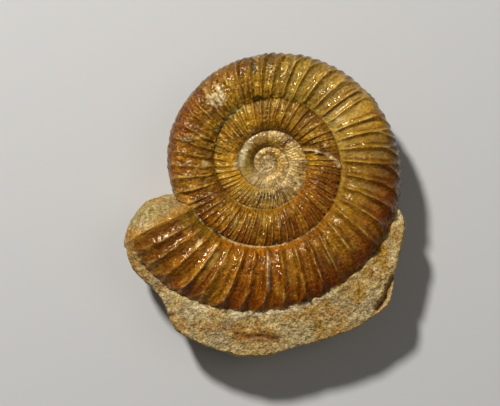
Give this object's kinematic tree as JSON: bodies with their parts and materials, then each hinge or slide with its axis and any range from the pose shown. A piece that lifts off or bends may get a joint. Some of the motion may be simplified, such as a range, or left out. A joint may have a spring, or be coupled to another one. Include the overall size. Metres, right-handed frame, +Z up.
{
  "type": "ammonite fossil in matrix",
  "caption": "Ribbed ammonite coil lying face up, its lower rim and mouth still bedded in a block of granular limestone with a flat underside.",
  "frame": {"origin": "on the surface it rests on, under the centre of its bounding box", "axes": "+Z up, out of the coil's face; +Y towards the bare upper edge of the shell, -Y towards the limestone; +X to the right as seen from above"},
  "size_m": [0.0586, 0.063, 0.0179],
  "materials": {
    "fossil_shell": "varnished calcite, glossy, honey brown with darker hollows",
    "limestone": "rough, granular, buff with ochre stains"
  },
  "bodies": {
    "root": {"ammonite": "fossil_shell", "matrix": "limestone"}
  },
  "joints": []
}
